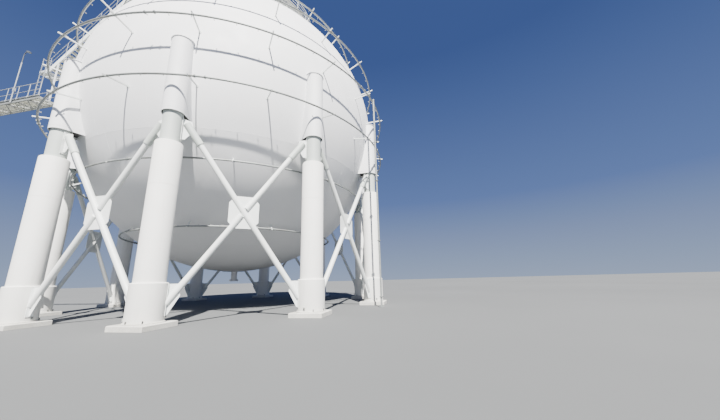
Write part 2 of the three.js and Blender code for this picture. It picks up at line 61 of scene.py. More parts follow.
# Sizes shared with the CAD source
WALL = 0.045
ZONES = (
    ("shell_bottom_cap", -90, -60),
    ("shell_lower_zone", -60, -22.5),
    ("shell_equator_zone", -22.5, 22.5),
    ("shell_upper_zone", 22.5, 60),
    ("shell_top_cap", 60, 90),
)
COLUMNS = 10
PITCH = 36
COLUMN_RADIUS = 11.25
PLINTH_HALF = 0.85
PLINTH_H = 0.22
BASE_R = 0.69
BASE_TOP = 1.8
CLAD_TOP = 8.18
BRACE_R = 0.137
CROSS_Z = 5.09
BRACE_SLOPE = 1.477
GUSSET_T = 0.025
WALK_Y1 = WALK_Y0 + 1.0
WALK_X1 = -10.05
WALK_Z = 14.5
RAIL_H = 1.1
LANDING_Z = 17.6
LANDING_X = (-12.44, -11.74)
LANDING_Y = (-7.66, -6.7)
TOP_LANDING_Z = 24.36
TOP_LANDING_X = (-3.68, -2.4)
TOP_LANDING_Y = (-7.62, -6.7)
TRESTLE_X = -19.0
LADDER_X = (-12.29, -11.85)
NEAR_Y = -7.56
FAR_Y = -6.76
STAIR_RISERS = 32
STRINGER_H = 0.36
STAIR_POST = (-10.89, -7.555)
STEPS_X = (-3.58, -2.68)
STEP_RISERS = 5
STEP_GOING = 0.28
DECK_HOLE_R = 1.8
RISER_RADIUS = 12.33
RISER_ANGLE = 349.5

# Sizes that stay within a few centimetres of the CAD source's
CLAD_R = 0.588
NECK_R = 0.42
HEAD_R = 0.52
HEAD_BOTTOM = 9.72
HEAD_TOP = 13.88
RING_PIPE_R = 0.051

# Sizes that only the looks need
BAND_Z = (3.9, 6.05)
SLEEVE_R = 0.172
SLEEVE_LENGTH = 1.15
GRATING_BAR = (0.006, 0.03)
CROSS_ROD = (0.008, 0.01)
KICK_H = 0.1
# Top of the painted shade, mixed with some weathering, that darkens the shell toward its foot
GRIME_AND_SHADE_TOP = 12.0

UP = Vector((0, 0, 1))
CENTRE = Vector((0, 0, CENTRE_Z))


def polar(radius, degrees, z=0.0):
    a = math.radians(degrees)
    return Vector((radius * math.cos(a), radius * math.sin(a), z))


def on_sphere(radius, latitude, degrees):
    """Point at that distance from the sphere's centre."""
    lat = math.radians(latitude)
    return polar(radius * math.cos(lat), degrees, CENTRE_Z + radius * math.sin(lat))


def shell_z(x, y):
    """Height of the upper half of the shell over a point of the plan."""
    return CENTRE_Z + math.sqrt(SPHERE_R ** 2 - x * x - y * y)


# Materials


def node(tree, kind, **values):
    made = tree.nodes.new(kind)
    for key, value in values.items():
        setattr(made, key, value)
    return made


def noise(tree, scale, detail=4.0, rough=0.55, stretch=(1, 1, 1)):
    """Noise factor over the object's own coordinates, stretched along the axes."""
    coord = node(tree, "ShaderNodeTexCoord")
    mapping = node(tree, "ShaderNodeMapping")
    mapping.inputs["Scale"].default_value = stretch
    tree.links.new(coord.outputs["Object"], mapping.inputs["Vector"])
    made = node(tree, "ShaderNodeTexNoise")
    made.inputs["Scale"].default_value = scale
    made.inputs["Detail"].default_value = detail
    made.inputs["Roughness"].default_value = rough
    tree.links.new(mapping.outputs["Vector"], made.inputs["Vector"])
    return made.outputs["Fac"]


def ramp(tree, factor, stops):
    """Colour ramp with (place, colour) stops; a colour may be one grey level."""
    made = node(tree, "ShaderNodeValToRGB")
    points = made.color_ramp.elements
    while len(points) < len(stops):
        points.new(0.5)
    for point, (place, colour) in zip(points, stops):
        point.position = place
        grey = isinstance(colour, (int, float))
        point.color = (colour, colour, colour, 1) if grey else (*colour, 1)
    tree.links.new(factor, made.inputs["Fac"])
    return made.outputs["Color"]


def mix(tree, factor, low, high, blend="MIX"):
    """Mix of two colours; low, high and factor may be sockets or values."""
    made = node(tree, "ShaderNodeMix", data_type="RGBA", blend_type=blend)
    sockets = (made.inputs["Factor"], made.inputs[6], made.inputs[7])
    for socket, value in zip(sockets, (factor, low, high)):
        if isinstance(value, bpy.types.NodeSocket):
            tree.links.new(value, socket)
        elif isinstance(value, (int, float)):
            socket.default_value = value
        else:
            socket.default_value = (*value, 1)
    return made.outputs[2]


def height(tree):
    """Height above the ground of the point that is shaded."""
    coord = node(tree, "ShaderNodeTexCoord")
    split = node(tree, "ShaderNodeSeparateXYZ")
    tree.links.new(coord.outputs["Object"], split.inputs[0])
    return split.outputs["Z"]


def map_range(tree, value, low, high):
    """Factor that runs from 0 to 1 as the value runs from low to high."""
    made = node(tree, "ShaderNodeMapRange")
    made.inputs["From Min"].default_value = low
    made.inputs["From Max"].default_value = high
    tree.links.new(value, made.inputs["Value"])
    return made.outputs["Result"]


def material(name, roughness, metallic=0.0, coat=0.0):
    made = bpy.data.materials.new(name)
    made.use_nodes = True
    tree = made.node_tree
    shader = tree.nodes["Principled BSDF"]
    shader.inputs["Roughness"].default_value = roughness
    shader.inputs["Metallic"].default_value = metallic
    shader.inputs["Coat Weight"].default_value = coat
    return made, tree, shader


def bump(tree, shader, factor, strength, distance):
    made = node(tree, "ShaderNodeBump")
    made.inputs["Strength"].default_value = strength
    made.inputs["Distance"].default_value = distance
    tree.links.new(factor, made.inputs["Height"])
    tree.links.new(made.outputs["Normal"], shader.inputs["Normal"])


def painted(name, clean, dull, stain, roughness, stain_share=0.5, grime_and_shade=0.0):
    """Weathered paint: slow tone changes, thin runs, a fine orange peel, and a darkening toward the foot
    that is painted shade with some weathering.
    """
    made, tree, shader = material(name, roughness)
    slow = ramp(tree, noise(tree, 0.35, 5.0), [(0.35, dull), (0.65, clean)])
    runs = ramp(tree, noise(tree, 2.2, 6.0, 0.6, (1.6, 1.6, 0.1)), [(0.6, 0.0), (0.85, stain_share)])
    colour = mix(tree, runs, slow, stain)
    # Painted shade: the colour darkens toward the bottom of the shell, partly weathering and partly the
    # underside's shade.
    if grime_and_shade:
        rise = map_range(tree, height(tree), CENTRE_Z - SPHERE_R, GRIME_AND_SHADE_TOP)
        colour = mix(tree, ramp(tree, rise, [(0.0, grime_and_shade), (1.0, 0.0)]), colour, (0.48, 0.49, 0.51))
    tree.links.new(colour, shader.inputs["Base Color"])
    rough = ramp(tree, noise(tree, 1.3, 5.0), [(0.3, roughness - 0.07), (0.7, roughness + 0.1)])
    tree.links.new(rough, shader.inputs["Roughness"])
    bump(tree, shader, noise(tree, 45.0, 3.0), 0.12, 0.004)
    return made


def cladding_material(name, clean, dull, stain):
    """Painted fireproofing: mottled, dusty toward the ground, with trowel marks in the bump."""
    made, tree, shader = material(name, 0.72)
    slow = ramp(tree, noise(tree, 0.8, 6.0, 0.6), [(0.3, dull), (0.7, clean)])
    dust = ramp(tree, map_range(tree, height(tree), 0.2, 2.4), [(0.0, 0.45), (1.0, 0.0)])
    runs = ramp(tree, noise(tree, 3.0, 6.0, 0.65, (2.0, 2.0, 0.12)), [(0.55, 0.0), (0.85, 0.4)])
    colour = mix(tree, runs, mix(tree, dust, slow, stain), stain)
    tree.links.new(colour, shader.inputs["Base Color"])
    bump(tree, shader, noise(tree, 6.0, 8.0, 0.6, (1.0, 1.0, 0.6)), 0.25, 0.01)
    return made


def zinc_material(name, light, dark, stain, roughness, metallic):
    """Galvanised steel: spangle cells, dull patches and brown dirt in thin runs."""
    made, tree, shader = material(name, roughness, metallic)
    coord = node(tree, "ShaderNodeTexCoord")
    cells = node(tree, "ShaderNodeTexVoronoi")
    cells.inputs["Scale"].default_value = 30.0
    tree.links.new(coord.outputs["Object"], cells.inputs["Vector"])
    spangle = ramp(tree, cells.outputs["Distance"], [(0.0, dark), (0.7, light)])
    dirt = ramp(tree, noise(tree, 1.6, 6.0, 0.65, (1.0, 1.0, 0.3)), [(0.5, 0.0), (0.75, 0.6)])
    colour = mix(tree, dirt, spangle, stain)
    tree.links.new(colour, shader.inputs["Base Color"])
    rough = ramp(tree, noise(tree, 4.0, 4.0), [(0.3, roughness - 0.1), (0.7, roughness + 0.12)])
    tree.links.new(rough, shader.inputs["Roughness"])
    bump(tree, shader, noise(tree, 60.0, 3.0), 0.1, 0.002)
    return made


def concrete_material(name, light, dark):
    made, tree, shader = material(name, 0.9)
    slow = ramp(tree, noise(tree, 1.2, 8.0, 0.6), [(0.3, dark), (0.7, light)])
    pits = ramp(tree, noise(tree, 28.0, 4.0, 0.7), [(0.35, 0.55), (0.5, 1.0)])
    tree.links.new(mix(tree, 0.5, slow, pits, "MULTIPLY"), shader.inputs["Base Color"])
    bump(tree, shader, noise(tree, 18.0, 8.0, 0.65), 0.45, 0.01)
    return made


def lens_material(name):
    made, tree, shader = material(name, 0.12, coat=0.6)
    grain = ramp(tree, noise(tree, 40.0, 2.0), [(0.3, (0.30, 0.34, 0.36)), (0.7, (0.45, 0.50, 0.52))])
    tree.links.new(grain, shader.inputs["Base Color"])
    return made


# The shell paint carries painted shade that darkens it toward the bottom, with some weathering.
WHITE = painted("white_shell_paint", (0.87, 0.875, 0.88), (0.83, 0.835, 0.84), (0.66, 0.65, 0.61), 0.6,
                stain_share=0.25, grime_and_shade=0.7)
TUBE_WHITE = painted("white_steel_paint", (0.80, 0.82, 0.80), (0.70, 0.73, 0.71), (0.45, 0.44, 0.40), 0.48)
OFF_WHITE = painted("off_white_rail_paint", (0.72, 0.75, 0.76), (0.62, 0.66, 0.67), (0.42, 0.38, 0.33), 0.5)
RAIL = painted("galvanised_rail", (0.36, 0.385, 0.41), (0.28, 0.30, 0.33), (0.28, 0.25, 0.21), 0.5)
NECK = painted("neck_steel_paint", (0.53, 0.57, 0.535), (0.47, 0.51, 0.48), (0.45, 0.45, 0.40), 0.55)
CLADDING = cladding_material("painted_fireproofing", (0.84, 0.835, 0.80), (0.78, 0.78, 0.745),
                             (0.55, 0.54, 0.48))
CONCRETE = concrete_material("plinth_concrete", (0.62, 0.61, 0.56), (0.46, 0.45, 0.41))
ZINC = zinc_material("galvanised_steel", (0.50, 0.51, 0.49), (0.36, 0.37, 0.36),
                     (0.33, 0.31, 0.25), 0.5, 0.55)
GRATING = zinc_material("galvanised_grating", (0.45, 0.46, 0.39), (0.33, 0.34, 0.29),
                        (0.30, 0.28, 0.20), 0.6, 0.4)
PIPE = zinc_material("spray_pipe_grey", (0.30, 0.32, 0.31), (0.19, 0.205, 0.20),
                     (0.15, 0.13, 0.10), 0.5, 0.35)
# Black paint for the bolts and studs; inside the column heads it is painted shade.
DARK_AND_SHADE = painted("dark_bolt_and_shade_paint", (0.06, 0.06, 0.06), (0.04, 0.04, 0.04), (0.08, 0.07, 0.06), 0.6)
HOUSING = painted("lamp_housing_grey", (0.10, 0.11, 0.13), (0.07, 0.08, 0.09), (0.10, 0.09, 0.07), 0.5)
LENS = lens_material("lamp_lens")

# Shape kit


class Shape:
    """Closed bodies of one piece, each face with the number of its material."""

    def __init__(self):
        self.verts, self.faces, self.looks = [], [], []
        self.look = 0

    def add(self, verts, faces, matrix=None):
        start = len(self.verts)
        for v in verts:
            self.verts.append(tuple(matrix @ Vector(v)) if matrix else tuple(v))
        self.faces += [tuple(start + i for i in face) for face in faces]
        self.looks += [self.look] * len(faces)

    def box(self, low, high, matrix=None):
        xs, ys, zs = zip(low, high)
        verts = [(x, y, z) for x in xs for y in ys for z in zs]
        faces = [(0, 1, 3, 2), (4, 6, 7, 5), (0, 4, 5, 1), (2, 3, 7, 6), (0, 2, 6, 4), (1, 5, 7, 3)]
        self.add(verts, faces, matrix)

    def block(self, x, y, half_x, half_y, z0, z1, matrix=None):
        """Box about an upright line."""
        self.box((x - half_x, y - half_y, z0), (x + half_x, y + half_y, z1), matrix)

    def slab(self, low, high, edge, matrix=None):
        """Box with its upright edges and top edges cut back."""
        (x0, y0, z0), (x1, y1, z1) = low, high
        rows = []
        for inset, z in ((0, z0), (0, z1 - edge), (edge, z1)):
            c = edge * 0.6
            a, b, p, q = x0 + inset, x1 - inset, y0 + inset, y1 - inset
            rows.append([(a + c, p, z), (b - c, p, z), (b, p + c, z), (b, q - c, z),
                         (b - c, q, z), (a + c, q, z), (a, q - c, z), (a, p + c, z)])
        self.skin(rows, matrix)

    def skin(self, rows, matrix=None, closed=False):
        """Body through rings of equally many points, with flat ends or its ends joined."""
        count, total = len(rows[0]), len(rows)
        faces = [] if closed else [tuple(reversed(range(count)))]
        for r in range(total if closed else total - 1):
            n = (r + 1) % total
            for i in range(count):
                j = (i + 1) % count
                faces.append((r * count + i, r * count + j, n * count + j, n * count + i))
        if not closed:
            faces.append(tuple((total - 1) * count + i for i in range(count)))
        self.add([v for row in rows for v in row], faces, matrix)

    def lathe(self, profile, segments=48, matrix=None):
        """Body of revolution about Z; the profile runs from axis to axis, or is a closed loop."""
        loop = profile[0][0] > 1e-6 or profile[-1][0] > 1e-6
        verts, rings = [], []
        for radius, z in profile:
            if radius < 1e-6:
                rings.append([len(verts)] * segments)
                verts.append((0, 0, z))
                continue
            rings.append([len(verts) + i for i in range(segments)])
            for i in range(segments):
                a = 2 * math.pi * i / segments
                verts.append((radius * math.cos(a), radius * math.sin(a), z))
        pairs = list(zip(rings, rings[1:]))
        if loop:
            pairs.append((rings[-1], rings[0]))
        faces = []
        for low, high in pairs:
            for i in range(segments):
                j = (i + 1) % segments
                face = []
                for v in (low[i], low[j], high[j], high[i]):
                    if v not in face:
                        face.append(v)
                if len(face) > 2:
                    faces.append(tuple(face))
        self.add(verts, faces, matrix)

    def tube(self, points, radius, sides=12, closed=False):
        """Round pipe along points; a closed one joins its ends."""
        points = [Vector(p) for p in points]
        count = len(points)
        rows = []
        side = None
        for i, p in enumerate(points):
            if closed:
                ahead = points[(i + 1) % count] - points[i - 1]
            else:
                ahead = points[min(i + 1, count - 1)] - points[max(i - 1, 0)]
            ahead.normalize()
            if side is None:
                up = Vector((0, 1, 0)) if abs(ahead.z) > 0.9 else UP
                side = up.cross(ahead).normalized()
            side = (side - ahead * side.dot(ahead)).normalized()
            other = ahead.cross(side)
            rows.append([p + radius * (side * math.cos(a) + other * math.sin(a))
                         for a in (2 * math.pi * k / sides for k in range(sides))])
        self.skin(rows, closed=closed)

    def disc(self, place, axis, half, radius, sides):
        """Round plate about a place, half its thickness to each side along the axis."""
        self.tube([place - axis * half, place + axis * half], radius, sides)

    def hoop(self, inner, outer, low, high, segments=96, matrix=None):
        """Ring of rectangular section about Z."""
        self.lathe([(inner, low), (outer, low), (outer, high), (inner, high)], segments, matrix)

    def bar(self, start, end, width, depth=None):
        """Flat-sided bar between two points that aren't one above the other; its depth is upright."""
        depth = depth or width
        a, b = Vector(start), Vector(end)
        ahead = (b - a).normalized()
        side = UP.cross(ahead).normalized()
        top = ahead.cross(side)
        rows = []
        for p in (a, b):
            rows.append([p + side * sx * width / 2 + top * sz * depth / 2
                         for sx, sz in ((-1, -1), (1, -1), (1, 1), (-1, 1))])
        self.skin(rows)

    def prism(self, outline, thickness, matrix=None):
        """Plate cut to an outline in the local XZ plane, half its thickness to each side."""
        half = thickness / 2
        self.skin([[(x, y, z) for x, z in outline] for y in (-half, half)], matrix)

    def bolt(self, place, axis, size=0.024, length=0.03):
        """Hexagon head standing on a face."""
        place, axis = Vector(place), Vector(axis).normalized()
        self.tube([place, place + axis * length], size, 6)

    def channel(self, start, end, depth, flange, metal, outward):
        """Rolled channel along a line: its web upright, its flanges toward outward."""
        a, b, outward = Vector(start), Vector(end), Vector(outward)
        top = (b - a).cross(outward).normalized()
        half = depth / 2
        shape = [(0, -half), (flange, -half), (flange, metal - half), (metal, metal - half),
                 (metal, half - metal), (flange, half - metal), (flange, half), (0, half)]
        self.skin([[p + outward * x + top * z for x, z in shape] for p in (a, b)])


def turned(degrees, place=(0, 0, 0)):
    return Matrix.Translation(Vector(place)) @ Matrix.Rotation(math.radians(degrees), 4, "Z")


def show(name, data):
    """Object that stands in the scene."""
    made = bpy.data.objects.new(name, data)
    bpy.context.scene.collection.objects.link(made)
    return made


def piece(name, shape, looks, nodes=(), sharp=35):
    """Makes the mesh, rides it on the one body and hides the nodes it stands for."""
    mesh = bpy.data.meshes.new(name)
    mesh.from_pydata([(x + AXIS_X, y, z) for x, y, z in shape.verts], [], shape.faces)
    for look in looks:
        mesh.materials.append(look)
    mesh.polygons.foreach_set("material_index", shape.looks)
    solid = bmesh.new()
    solid.from_mesh(mesh)
    bmesh.ops.recalc_face_normals(solid, faces=solid.faces)
    solid.to_mesh(mesh)
    solid.free()
    mesh.shade_smooth()
    mesh.set_sharp_from_angle(angle=math.radians(sharp))
    made = show(name, mesh)
    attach(made, "root")
    if nodes:
        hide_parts(*nodes)


# Shell


def arc(radius, start, end, steps):
    points = []
    for i in range(steps + 1):
        a = math.radians(start + (end - start) * i / steps)
        points.append((max(0.0, radius * math.cos(a)), CENTRE_Z + radius * math.sin(a)))
    return points


def shell_zone(name, low, high):
    steps = round((high - low) / 2.5)
    shape = Shape()
    shape.lathe(arc(SPHERE_R, low, high, steps) + arc(SPHERE_R - WALL, high, low, steps // 2), 160)
    piece(name + "_skin", shape, [WHITE], [name], 60)


# Latitudes of a zone, the plates round it and the angle of the first upright seam
PLATES = (
    (-22.5, 22.5, 20, 9),
    (22.5, 60, 18, 4),
    (-60, -22.5, 18, 4),
    (60, 88, 6, 0),
    (-85, -60, 6, 0),
)


def weld_seams():
    """Low weld beads between the plates: rings at the zone edges and meridians in each zone."""
    bead_r, sunk, sides = 0.011, 0.006, 5
    radius = SPHERE_R - sunk
    shape = Shape()
    for _, _, latitude in ZONES[:-1]:
        ring = [on_sphere(radius, latitude, 3 * k) for k in range(120)]
        shape.tube(ring, bead_r, sides, closed=True)
    for low, high, plates, first in PLATES:
        for k in range(plates):
            degrees = first + 360 * k / plates
            line = [on_sphere(radius, low + (high - low) * i / 12, degrees) for i in range(13)]
            shape.tube(line, bead_r, sides)
    piece("shell_weld_seams", shape, [WHITE])


# Columns


def head_outline(radius, inward):
    """U-shaped plan of a column head: round outside, straight sides toward the shell."""
    points = [(-inward, -radius)]
    for k in range(25):
        a = math.radians(-90 + 7.5 * k)
        points.append((radius * math.cos(a), radius * math.sin(a)))
    points.append((-inward, radius))
    return points


def column(k):
    """Plinth, base, clad post, bare neck and the head that runs into the shell."""
    degrees = k * PITCH
    shape = Shape()
    place = polar(COLUMN_RADIUS, degrees)
    here = turned(degrees, place)
    shape.look = 1
    shape.slab((-PLINTH_HALF + place.x, -PLINTH_HALF + place.y, 0),
               (PLINTH_HALF + place.x, PLINTH_HALF + place.y, PLINTH_H), 0.03)
    grout_r = BASE_R + 0.06
    shape.lathe([(0, 0.1), (grout_r, 0.1), (grout_r, PLINTH_H + 0.03), (BASE_R, PLINTH_H + 0.06),
                 (0, PLINTH_H + 0.06)], 64, here)
    shape.look = 0
    edge = 0.025
    shape.lathe([
        (0, 0.2), (BASE_R, 0.2), (BASE_R, BASE_TOP - edge), (BASE_R - edge, BASE_TOP),
        (CLAD_R, BASE_TOP + 0.01), (CLAD_R, CLAD_TOP - 0.05), (CLAD_R - 0.02, CLAD_TOP - 0.012),
        (0, CLAD_TOP)], 72, here)
    shape.look = 4
    foot_r = NECK_R + 0.012
    shape.lathe([(0, CLAD_TOP - 0.05), (foot_r, CLAD_TOP - 0.05), (foot_r, CLAD_TOP + 0.02),
                 (NECK_R, CLAD_TOP + 0.03), (NECK_R, HEAD_BOTTOM + 0.3), (0, HEAD_BOTTOM + 0.3)], 72, here)
    shape.look = 0
    for z in BAND_Z:
        shape.hoop(CLAD_R - 0.01, CLAD_R + 0.002, z - 0.012, z + 0.012, 72, here)
    shape.look = 2
    inward, lip = 1.4, 0.02
    solid_from = HEAD_BOTTOM + 0.14
    outline = head_outline(HEAD_R, inward)
    shape.skin([[(x, y, z) for x, y in outline] for z in (solid_from, HEAD_TOP - 0.02)], here)
    rim = outline + list(reversed(head_outline(HEAD_R - lip, inward)))
    shape.skin([[(x, y, z) for x, y in rim] for z in (HEAD_BOTTOM, solid_from + 0.01)], here)
    cap_r = HEAD_R + 0.04
    shape.lathe([(0, HEAD_TOP - 0.03), (cap_r, HEAD_TOP - 0.03), (cap_r, HEAD_TOP),
                 (HEAD_R - 0.1, HEAD_TOP + 0.03), (0, HEAD_TOP + 0.04)], 56, here)
    # Painted shade: a black plate across the head's hollow underside, just above the rim.
    shape.look = 3
    shape.skin([[(x, y, z) for x, y in head_outline(HEAD_R - lip - 0.002, inward)]
                for z in (solid_from - 0.004, solid_from + 0.004)], here)
    label = f"column_{k + 1:02d}"
    piece(label + "_clad", shape, [CLADDING, CONCRETE, WHITE, DARK_AND_SHADE, NECK], [label], 40)


def column_details(k):
    """Two earthing lugs with their bolts, and four studs round the base of one column."""
    degrees = k * PITCH
    here = turned(degrees, polar(COLUMN_RADIUS, degrees))
    shape = Shape()
    for a in (-62, 118):
        out = here @ turned(a)
        shape.look = 0
        shape.box((BASE_R - 0.03, -0.05, 0.34), (BASE_R + 0.03, 0.05, 0.46), out)
        shape.look = 1
        shape.tube([out @ Vector((BASE_R + reach, 0, 0.4)) for reach in (0.02, 0.055)], 0.02, 6)
    for a in (25, 155, 205, 335):
        out = here @ turned(a)
        shape.tube([out @ Vector((BASE_R + 0.035, 0, z)) for z in (PLINTH_H + 0.02, 0.36)], 0.022, 8)
    piece(f"column_{k + 1:02d}_fittings", shape, [ZINC, DARK_AND_SHADE], sharp=30)


# X bracing

BAY_HALF = COLUMN_RADIUS * math.sin(math.radians(PITCH / 2))
BAY_RADIUS = COLUMN_RADIUS * math.cos(math.radians(PITCH / 2))


# Plate outlines in a bay's plane: places along the bay, or reach from a column's axis, and heights
CROSS_PLATE = ((-0.4, 4.28), (0.4, 4.28), (0.7, 4.6), (0.7, 5.56), (0.42, 5.9), (-0.42, 5.9),
               (-0.7, 5.56), (-0.7, 4.6))
NECK_GUSSET = ((NECK_R - 0.06, 8.5), (NECK_R - 0.06, 9.6), (0.82, 9.48), (0.93, 9.0), (0.58, 8.5))
BASE_GUSSET = ((BASE_R - 0.06, 0.48), (BASE_R - 0.06, 1.74), (1.06, 1.74), (1.16, 1.24), (0.76, 0.48))


def diagonal_z(s):
    """Height of a falling diagonal at a place along its bay."""
    return CROSS_Z - BRACE_SLOPE * s


def brace(k):
    """X of tubes in one bay: one runs through, the other stops at the crossing plate."""
    middle = (k + 0.5) * PITCH
    here = turned(middle + 90, polar(BAY_RADIUS, middle))
    shape = Shape()
    top, low, near = -BAY_HALF + 0.64, BAY_HALF - 0.66, 0.115

    def tube(s0, z0, s1, z1):
        a, b = here @ Vector((s0, 0, z0)), here @ Vector((s1, 0, z1))
        shape.tube([a, b], BRACE_R, 28)
        return a, (b - a).normalized()

    heads = [tube(top, diagonal_z(top), low, diagonal_z(low)),
             tube(-top, diagonal_z(top), near, diagonal_z(-near))]
    tube(-near, diagonal_z(near), -low, diagonal_z(low))
    shape.look = 1
    for start, along in heads:
        end = start + along * SLEEVE_LENGTH
        shape.tube([start - along * 0.05, end], SLEEVE_R, 28)
        shape.tube([end - along * 0.004, end + along * 0.03], SLEEVE_R - 0.018, 28)
    shape.look = 0
    shape.prism(CROSS_PLATE, GUSSET_T, here)
    for side in (-1, 1):
        for gusset in (NECK_GUSSET, BASE_GUSSET):
            shape.prism([(side * (BAY_HALF - reach), z) for reach, z in gusset], GUSSET_T, here)
        for z0, z1, reach in ((8.42, 9.63, NECK_R), (0.45, 1.77, BASE_R)):
            a, b = sorted((side * (BAY_HALF - reach), side * (BAY_HALF - reach - 0.02)))
            shape.box((a, -0.14, z0), (b, 0.14, z1), here)
    name = f"brace_{k + 1:02d}_{(k + 1) % COLUMNS + 1:02d}"
    piece(name + "_tubes", shape, [TUBE_WHITE, NECK], [name])


# Water spray rings

# Name, latitude, radius, first bar, bar reach past the pipe, bars, first flanged joint
RINGS = (
    ("spray_ring_1", -50, 11.65, -4, 0.08, 10, 20),
    ("spray_ring_2", -30, 11.8, 14, 0.1, 10, 34),
    ("spray_ring_3", -11.75, 12.35, 4, 0.21, 20, 54.4),
    ("spray_ring_4", 4.2, 12.24, 3.5, 0.22, 20, 42),
    ("spray_ring_5", 20, 12.15, 5.5, 0.26, 20, 31),
    ("spray_ring_6", 37.5, 11.97, 5.5, 0.26, 20, 14),
)


def spray_ring(name, latitude, radius, first, past, bars, joint):
    """Ring pipe with flanged joints, bars that hold it off the shell, clamps and inward nozzles."""
    shape = Shape()
    shape.tube([on_sphere(radius, latitude, 2 * k) for k in range(180)], RING_PIPE_R, 12, closed=True)
    for k in range(12):
        a = joint + 60 * (k // 2) + (-1.1 if k % 2 else 1.1)
        p, q = on_sphere(radius, latitude, a - 0.08), on_sphere(radius, latitude, a + 0.08)
        along = (q - p).normalized()
        for end in (p, q):
            shape.disc(end, along, 0.011, 0.082, 16)
    for k in range(bars):
        a = first + 360 * k / bars
        foot, tip = on_sphere(SPHERE_R - 0.01, latitude, a), on_sphere(radius + past, latitude, a)
        out = (tip - foot).normalized()
        shape.look = 2
        shape.bar(foot, tip, 0.06)
        shape.tube([foot, foot + out * 0.022], 0.09, 16)
        shape.look = 0
        clamp = on_sphere(radius, latitude, a)
        side = polar(1, a + 90)
        for shift in (-0.05, 0.05):
            loop = []
            for i in range(12):
                t = math.radians(30 * i)
                spoke = out * math.cos(t) + out.cross(side) * math.sin(t)
                loop.append(clamp + side * shift + spoke * (RING_PIPE_R + 0.008))
            shape.tube(loop, 0.008, 5, closed=True)
    shape.look = 1
    for k in range(72):
        a = first + 2.5 + 5 * k
        start = on_sphere(radius - RING_PIPE_R + 0.004, latitude, a)
        inward = (CENTRE - start).normalized()
        tip = start + inward * 0.07
        shape.tube([start, tip], 0.013, 6)
        shape.tube([tip, tip + inward * 0.035], 0.024, 6)
    piece(name + "_pipe", shape, [PIPE, ZINC, TUBE_WHITE], [name], 40)


def spray_riser():
    """Feed pipe from the ground to rings 4 and 3, with flanged joints and a stub to each ring."""
    pipe = 0.06
    foot = polar(RISER_RADIUS, RISER_ANGLE)
    stubs = [on_sphere(radius, latitude, RISER_ANGLE) for _, latitude, radius, *_ in (RINGS[3], RINGS[2])]
    shape = Shape()
    shape.tube([foot + UP * 0.03, foot + UP * (stubs[0].z + 0.06)], pipe, 20)
    shape.tube([foot, foot + UP * 0.03], 0.16, 24)
    for z in (0.62, 4.2, 8.4):
        for lift in (-0.013, 0.013):
            shape.disc(foot + UP * (z + lift), UP, 0.01, 0.115, 24)
        for k in range(8):
            shape.disc(foot + polar(0.092, 45 * k, z), UP, 0.035, 0.009, 6)
    for end in stubs:
        shape.tube([foot + UP * end.z, end], 0.03, 12)
        shape.disc(foot + UP * end.z, UP, 0.05, pipe + 0.012, 20)
    for k in range(4):
        shape.bolt(foot + polar(0.13, 45 + 90 * k, 0.03), UP, 0.016, 0.03)
    piece("spray_riser_pipe", shape, [PIPE], ["spray_riser"], 40)


# Top platform


def grating_disc(shape, z, outer, hole):
    """Bearing bars along X and cross rods along Y, cut to a ring-shaped deck."""
    for axis, step, section in ((0, 0.06, GRATING_BAR), (1, 0.24, CROSS_ROD)):
        level = z - section[1] / 2
        count = int(outer / step)
        for i in range(-count, count + 1):
            c = i * step
            reach = math.sqrt(outer * outer - c * c)
            if reach < 0.1:
                continue
            spans = [(-reach, reach)]
            if abs(c) < hole:
                inner = math.sqrt(hole * hole - c * c)
                spans = [(-reach, -inner), (inner, reach)]
            for a, b in spans:
                start, end = ((a, c), (b, c)) if axis == 0 else ((c, a), (c, b))
                shape.bar((*start, level), (*end, level), *section)


def platform_deck():
    """Round deck: grating in hoops and spokes, kick plates, and posts that stand on the shell."""
    shape = Shape()
    shape.look = 1
    grating_disc(shape, DECK_Z, DECK_R - 0.03, DECK_HOLE_R + 0.02)
    shape.look = 0
    under = DECK_Z - 0.032
    beam_foot = under - 0.118
    for radius, half in ((DECK_R - 0.035, 0.035), (3.9, 0.04), (DECK_HOLE_R + 0.04, 0.035)):
        shape.hoop(radius - half, radius + half, beam_foot, under)
    for radius, low in ((DECK_R - 0.006, beam_foot), (DECK_HOLE_R + 0.006, under)):
        shape.hoop(radius - 0.006, radius + 0.006, low, DECK_Z + KICK_H)
    for k in range(20):
        spoke = [polar(r, 9 + 18 * k, under - 0.06) for r in (DECK_HOLE_R + 0.05, DECK_R - 0.05)]
        shape.bar(*spoke, 0.06, 0.11)
    for count, radius, first in ((10, 5.4, 9), (5, 2.1, 18)):
        for k in range(count):
            a = first + 360 / count * k
            x, y, _ = polar(radius, a)
            foot = Vector((x, y, shell_z(x, y) - 0.03))
            shape.tube([foot, (x, y, under - 0.05)], 0.057, 16)
            out = (foot - CENTRE).normalized()
            shape.tube([foot, foot + out * 0.05], 0.16, 20)
            shape.block(x, y, 0.09, 0.09, under - 0.13, under - 0.11)
            if radius > 3:
                shape.tube([foot + UP * 0.5, polar(radius - 1.1, a, under - 0.1)], 0.03, 10)
    piece("platform_grating", shape, [ZINC, GRATING], ["platform_deck"])


def platform_railing():
    """Three rails and their posts round the deck, open where the steps come up."""
    shape = Shape()
    radius = DECK_R - 0.06
    end, start = (math.degrees(math.atan2(-math.sqrt(radius * radius - x * x), x)) % 360
                  for x in (STEPS_X[0] - 0.02, STEPS_X[1] + 0.02))
    sweep = end + 360 - start
    steps, bays = round(sweep / 3), 28
    for lift, pipe in ((RAIL_H - 0.022, 0.022), (0.75, 0.017), (0.42, 0.017)):
        z = DECK_Z + lift
        shape.tube([polar(radius, start + sweep * i / steps, z) for i in range(steps + 1)], pipe, 10)
    for i in range(bays + 1):
        foot = polar(radius, start + sweep * i / bays, DECK_Z + 0.002)
        shape.tube([foot, foot + UP * (RAIL_H - 0.02)], 0.021, 10)
        shape.block(foot.x, foot.y, 0.05, 0.05, DECK_Z, DECK_Z + 0.012)
    piece("platform_handrail", shape, [OFF_WHITE], ["platform_railing"], 50)


